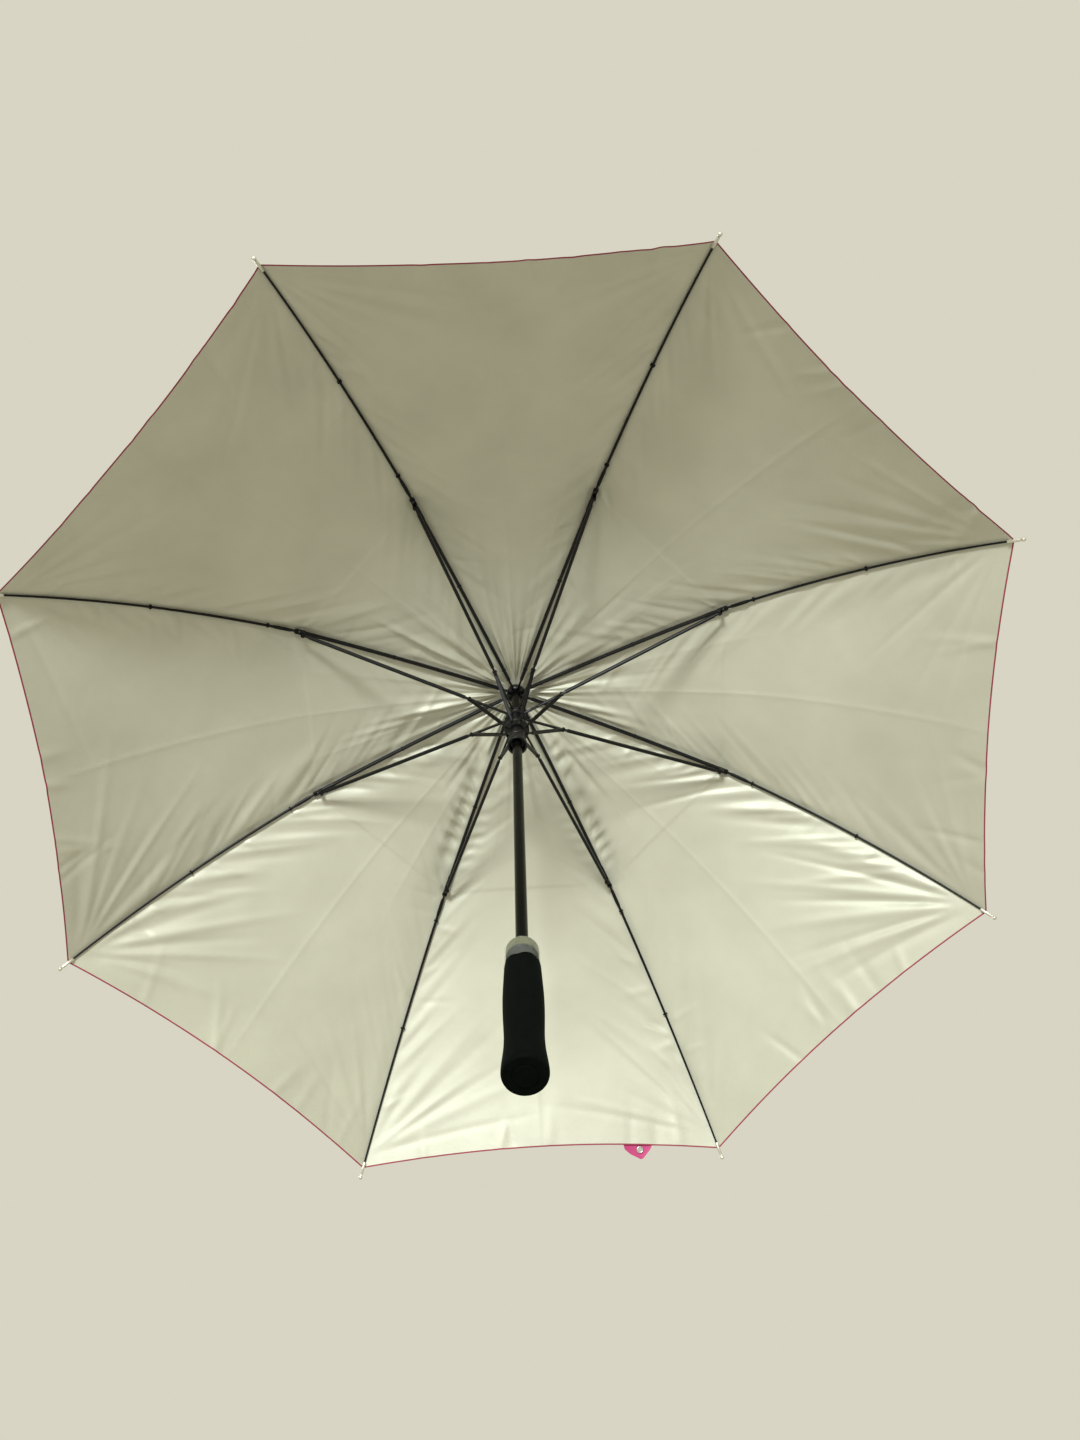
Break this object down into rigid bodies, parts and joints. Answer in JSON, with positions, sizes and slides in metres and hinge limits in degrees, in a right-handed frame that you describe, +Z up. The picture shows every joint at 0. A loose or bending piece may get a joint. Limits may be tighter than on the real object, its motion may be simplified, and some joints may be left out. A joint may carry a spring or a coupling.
{
  "type": "golf umbrella",
  "caption": "Large auto-opening stick umbrella, open: domed cloth canopy on folding ribs and stretchers, sliding runner, straight foam grip with push button.",
  "frame": {"origin": "centre of the flat butt face at the bottom of the handle", "axes": "+Z up the shaft towards the ferrule; +X and +Y are square to the shaft, each midway between two ribs, and the release button faces +Y"},
  "size_m": [1.2016, 1.205, 0.976],
  "materials": {
    "frame_paint": "satin black",
    "rib_fibreglass": "satin black",
    "black_plastic": "semi-gloss black",
    "shaft_lacquer": "gloss black",
    "bright_steel": "plain",
    "grip_foam": "matt foam",
    "canopy_cloth": "coated inside, dyed outside",
    "strap_cloth": "dyed"
  },
  "bodies": {
    "frame": {"shaft_tube": "shaft_lacquer", "crown_hub": "black_plastic", "crown_wire": "bright_steel", "top_washer": "black_plastic", "ferrule": "black_plastic", "foam_grip": "grip_foam", "grip_core": "black_plastic", "butt_cap": "black_plastic"},
    "rib_unit_1": {"rib_1": "frame_paint", "canopy_1": "canopy_cloth"},
    "rib_unit_2": {"rib_2": "frame_paint", "canopy_2": "canopy_cloth"},
    "rib_unit_3": {"rib_3": "frame_paint", "canopy_3": "canopy_cloth"},
    "rib_unit_4": {"rib_4": "frame_paint", "canopy_4": "canopy_cloth"},
    "rib_unit_5": {"rib_5": "frame_paint", "canopy_5": "canopy_cloth", "tie_strap": "strap_cloth", "strap_stud": "bright_steel"},
    "rib_unit_6": {"rib_6": "frame_paint", "canopy_6": "canopy_cloth"},
    "rib_unit_7": {"rib_7": "frame_paint", "canopy_7": "canopy_cloth"},
    "rib_unit_8": {"rib_8": "frame_paint", "canopy_8": "canopy_cloth"},
    "outer_1": {"outer_rib_1": "rib_fibreglass"},
    "outer_2": {"outer_rib_2": "rib_fibreglass"},
    "outer_3": {"outer_rib_3": "rib_fibreglass"},
    "outer_4": {"outer_rib_4": "rib_fibreglass"},
    "outer_5": {"outer_rib_5": "rib_fibreglass"},
    "outer_6": {"outer_rib_6": "rib_fibreglass"},
    "outer_7": {"outer_rib_7": "rib_fibreglass"},
    "outer_8": {"outer_rib_8": "rib_fibreglass"},
    "strut_1": {"stretcher_1": "frame_paint"},
    "strut_2": {"stretcher_2": "frame_paint"},
    "strut_3": {"stretcher_3": "frame_paint"},
    "strut_4": {"stretcher_4": "frame_paint"},
    "strut_5": {"stretcher_5": "frame_paint"},
    "strut_6": {"stretcher_6": "frame_paint"},
    "strut_7": {"stretcher_7": "frame_paint"},
    "strut_8": {"stretcher_8": "frame_paint"},
    "link_unit_1": {"link_1": "frame_paint"},
    "link_unit_2": {"link_2": "frame_paint"},
    "link_unit_3": {"link_3": "frame_paint"},
    "link_unit_4": {"link_4": "frame_paint"},
    "link_unit_5": {"link_5": "frame_paint"},
    "link_unit_6": {"link_6": "frame_paint"},
    "link_unit_7": {"link_7": "frame_paint"},
    "link_unit_8": {"link_8": "frame_paint"},
    "runner": {"runner_body": "black_plastic", "runner_wire": "bright_steel", "opening_spring": "bright_steel"},
    "slider": {"link_slider": "black_plastic"},
    "release": {"release_button": "bright_steel", "runner_catch": "frame_paint", "button_leaf": "bright_steel"}
  },
  "joints": [
    {"name": "fold_1", "type": "hinge", "parent": "frame", "child": "rib_unit_1", "pos_m": [-0.00383, -0.00924, 0.89], "axis": [0.9239, -0.3827, 0], "range_deg": [0, 79], "stiffness_Nm_per_rad": 3, "springref_deg": -57.3, "deforming": ["canopy_1", "canopy_2", "canopy_3", "canopy_4", "canopy_5", "canopy_6", "canopy_7", "canopy_8", "tie_strap", "strap_stud"]},
    {"name": "fold_2", "type": "hinge", "parent": "frame", "child": "rib_unit_2", "pos_m": [0.00383, -0.00924, 0.89], "axis": [0.9239, 0.3827, 0], "range_deg": [0, 79]},
    {"name": "fold_3", "type": "hinge", "parent": "frame", "child": "rib_unit_3", "pos_m": [0.00924, -0.00383, 0.89], "axis": [0.3827, 0.9239, 0], "range_deg": [0, 79]},
    {"name": "fold_4", "type": "hinge", "parent": "frame", "child": "rib_unit_4", "pos_m": [0.00924, 0.00383, 0.89], "axis": [-0.3827, 0.9239, 0], "range_deg": [0, 79]},
    {"name": "fold_5", "type": "hinge", "parent": "frame", "child": "rib_unit_5", "pos_m": [0.00383, 0.00924, 0.89], "axis": [-0.9239, 0.3827, 0], "range_deg": [0, 79]},
    {"name": "fold_6", "type": "hinge", "parent": "frame", "child": "rib_unit_6", "pos_m": [-0.00383, 0.00924, 0.89], "axis": [-0.9239, -0.3827, 0], "range_deg": [0, 79]},
    {"name": "fold_7", "type": "hinge", "parent": "frame", "child": "rib_unit_7", "pos_m": [-0.00924, 0.00383, 0.89], "axis": [-0.3827, -0.9239, 0], "range_deg": [0, 79]},
    {"name": "fold_8", "type": "hinge", "parent": "frame", "child": "rib_unit_8", "pos_m": [-0.00924, -0.00383, 0.89], "axis": [0.3827, -0.9239, 0], "range_deg": [0, 79]},
    {"name": "straighten_1", "type": "hinge", "parent": "rib_unit_1", "child": "outer_1", "pos_m": [-0.11829, -0.28557, 0.853], "axis": [0.9239, -0.3827, 0], "range_deg": [-20.6, 0]},
    {"name": "straighten_2", "type": "hinge", "parent": "rib_unit_2", "child": "outer_2", "pos_m": [0.11829, -0.28557, 0.853], "axis": [0.9239, 0.3827, 0], "range_deg": [-20.6, 0]},
    {"name": "straighten_3", "type": "hinge", "parent": "rib_unit_3", "child": "outer_3", "pos_m": [0.28557, -0.11829, 0.853], "axis": [0.3827, 0.9239, 0], "range_deg": [-20.6, 0]},
    {"name": "straighten_4", "type": "hinge", "parent": "rib_unit_4", "child": "outer_4", "pos_m": [0.28557, 0.11829, 0.853], "axis": [-0.3827, 0.9239, 0], "range_deg": [-20.6, 0]},
    {"name": "straighten_5", "type": "hinge", "parent": "rib_unit_5", "child": "outer_5", "pos_m": [0.11829, 0.28557, 0.853], "axis": [-0.9239, 0.3827, 0], "range_deg": [-20.6, 0]},
    {"name": "straighten_6", "type": "hinge", "parent": "rib_unit_6", "child": "outer_6", "pos_m": [-0.11829, 0.28557, 0.853], "axis": [-0.9239, -0.3827, 0], "range_deg": [-20.6, 0]},
    {"name": "straighten_7", "type": "hinge", "parent": "rib_unit_7", "child": "outer_7", "pos_m": [-0.28557, 0.11829, 0.853], "axis": [-0.3827, -0.9239, 0], "range_deg": [-20.6, 0]},
    {"name": "straighten_8", "type": "hinge", "parent": "rib_unit_8", "child": "outer_8", "pos_m": [-0.28557, -0.11829, 0.853], "axis": [0.3827, -0.9239, 0], "range_deg": [-20.6, 0]},
    {"name": "strut_turn_1", "type": "hinge", "parent": "rib_unit_1", "child": "strut_1", "pos_m": [-0.11446, -0.27633, 0.8455], "axis": [0.9239, -0.3827, 0], "range_deg": [-158.5, 0]},
    {"name": "strut_turn_2", "type": "hinge", "parent": "rib_unit_2", "child": "strut_2", "pos_m": [0.11446, -0.27633, 0.8455], "axis": [0.9239, 0.3827, 0], "range_deg": [-158.5, 0]},
    {"name": "strut_turn_3", "type": "hinge", "parent": "rib_unit_3", "child": "strut_3", "pos_m": [0.27633, -0.11446, 0.8455], "axis": [0.3827, 0.9239, 0], "range_deg": [-158.5, 0]},
    {"name": "strut_turn_4", "type": "hinge", "parent": "rib_unit_4", "child": "strut_4", "pos_m": [0.27633, 0.11446, 0.8455], "axis": [-0.3827, 0.9239, 0], "range_deg": [-158.5, 0]},
    {"name": "strut_turn_5", "type": "hinge", "parent": "rib_unit_5", "child": "strut_5", "pos_m": [0.11446, 0.27633, 0.8455], "axis": [-0.9239, 0.3827, 0], "range_deg": [-158.5, 0]},
    {"name": "strut_turn_6", "type": "hinge", "parent": "rib_unit_6", "child": "strut_6", "pos_m": [-0.11446, 0.27633, 0.8455], "axis": [-0.9239, -0.3827, 0], "range_deg": [-158.5, 0]},
    {"name": "strut_turn_7", "type": "hinge", "parent": "rib_unit_7", "child": "strut_7", "pos_m": [-0.27633, 0.11446, 0.8455], "axis": [-0.3827, -0.9239, 0], "range_deg": [-158.5, 0]},
    {"name": "strut_turn_8", "type": "hinge", "parent": "rib_unit_8", "child": "strut_8", "pos_m": [-0.27633, -0.11446, 0.8455], "axis": [0.3827, -0.9239, 0], "range_deg": [-158.5, 0]},
    {"name": "link_turn_1", "type": "hinge", "parent": "strut_1", "child": "link_unit_1", "pos_m": [-0.02539, -0.06129, 0.80968], "axis": [0.9239, -0.3827, 0], "range_deg": [0, 36]},
    {"name": "link_turn_2", "type": "hinge", "parent": "strut_2", "child": "link_unit_2", "pos_m": [0.02539, -0.06129, 0.80968], "axis": [0.9239, 0.3827, 0], "range_deg": [0, 36]},
    {"name": "link_turn_3", "type": "hinge", "parent": "strut_3", "child": "link_unit_3", "pos_m": [0.06129, -0.02539, 0.80968], "axis": [0.3827, 0.9239, 0], "range_deg": [0, 36]},
    {"name": "link_turn_4", "type": "hinge", "parent": "strut_4", "child": "link_unit_4", "pos_m": [0.06129, 0.02539, 0.80968], "axis": [-0.3827, 0.9239, 0], "range_deg": [0, 36]},
    {"name": "link_turn_5", "type": "hinge", "parent": "strut_5", "child": "link_unit_5", "pos_m": [0.02539, 0.06129, 0.80968], "axis": [-0.9239, 0.3827, 0], "range_deg": [0, 36]},
    {"name": "link_turn_6", "type": "hinge", "parent": "strut_6", "child": "link_unit_6", "pos_m": [-0.02539, 0.06129, 0.80968], "axis": [-0.9239, -0.3827, 0], "range_deg": [0, 36]},
    {"name": "link_turn_7", "type": "hinge", "parent": "strut_7", "child": "link_unit_7", "pos_m": [-0.06129, 0.02539, 0.80968], "axis": [-0.3827, -0.9239, 0], "range_deg": [0, 36]},
    {"name": "link_turn_8", "type": "hinge", "parent": "strut_8", "child": "link_unit_8", "pos_m": [-0.06129, -0.02539, 0.80968], "axis": [0.3827, -0.9239, 0], "range_deg": [0, 36]},
    {"name": "runner_pivot", "type": "hinge", "parent": "strut_1", "child": "runner", "pos_m": [-0.00383, -0.00924, 0.80101], "axis": [0.9239, -0.3827, 0], "range_deg": [0, 79.5]},
    {"name": "slider_rise", "type": "slide", "parent": "runner", "child": "slider", "axis": [0, 0, 1], "range_m": [0, 0.0286], "deforming": ["opening_spring"]},
    {"name": "button_press", "type": "slide", "parent": "frame", "child": "release", "axis": [0, -1, 0], "range_m": [0, 0.0014], "stiffness_N_per_m": 600, "springref_m": -0.001, "deforming": ["button_leaf"]}
  ],
  "couplings": [
    {"joint": "fold_2", "follows": "fold_1", "ratio": 1},
    {"joint": "fold_3", "follows": "fold_1", "ratio": 1},
    {"joint": "fold_4", "follows": "fold_1", "ratio": 1},
    {"joint": "fold_5", "follows": "fold_1", "ratio": 1},
    {"joint": "fold_6", "follows": "fold_1", "ratio": 1},
    {"joint": "fold_7", "follows": "fold_1", "ratio": 1},
    {"joint": "fold_8", "follows": "fold_1", "ratio": 1},
    {"joint": "straighten_1", "follows": "fold_1", "ratio": -0.25949},
    {"joint": "straighten_2", "follows": "fold_1", "ratio": -0.25949},
    {"joint": "straighten_3", "follows": "fold_1", "ratio": -0.25949},
    {"joint": "straighten_4", "follows": "fold_1", "ratio": -0.25949},
    {"joint": "straighten_5", "follows": "fold_1", "ratio": -0.25949},
    {"joint": "straighten_6", "follows": "fold_1", "ratio": -0.25949},
    {"joint": "straighten_7", "follows": "fold_1", "ratio": -0.25949},
    {"joint": "straighten_8", "follows": "fold_1", "ratio": -0.25949},
    {"joint": "strut_turn_1", "follows": "fold_1", "ratio": -2},
    {"joint": "strut_turn_2", "follows": "fold_1", "ratio": -2},
    {"joint": "strut_turn_3", "follows": "fold_1", "ratio": -2},
    {"joint": "strut_turn_4", "follows": "fold_1", "ratio": -2},
    {"joint": "strut_turn_5", "follows": "fold_1", "ratio": -2},
    {"joint": "strut_turn_6", "follows": "fold_1", "ratio": -2},
    {"joint": "strut_turn_7", "follows": "fold_1", "ratio": -2},
    {"joint": "strut_turn_8", "follows": "fold_1", "ratio": -2},
    {"joint": "link_turn_1", "follows": "fold_1", "ratio": 0.44104},
    {"joint": "link_turn_2", "follows": "fold_1", "ratio": 0.44104},
    {"joint": "link_turn_3", "follows": "fold_1", "ratio": 0.44104},
    {"joint": "link_turn_4", "follows": "fold_1", "ratio": 0.44104},
    {"joint": "link_turn_5", "follows": "fold_1", "ratio": 0.44104},
    {"joint": "link_turn_6", "follows": "fold_1", "ratio": 0.44104},
    {"joint": "link_turn_7", "follows": "fold_1", "ratio": 0.44104},
    {"joint": "link_turn_8", "follows": "fold_1", "ratio": 0.44104},
    {"joint": "runner_pivot", "follows": "fold_1", "ratio": 1},
    {"joint": "slider_rise", "follows": "fold_1", "m_per_rad": 0.020494}
  ]
}
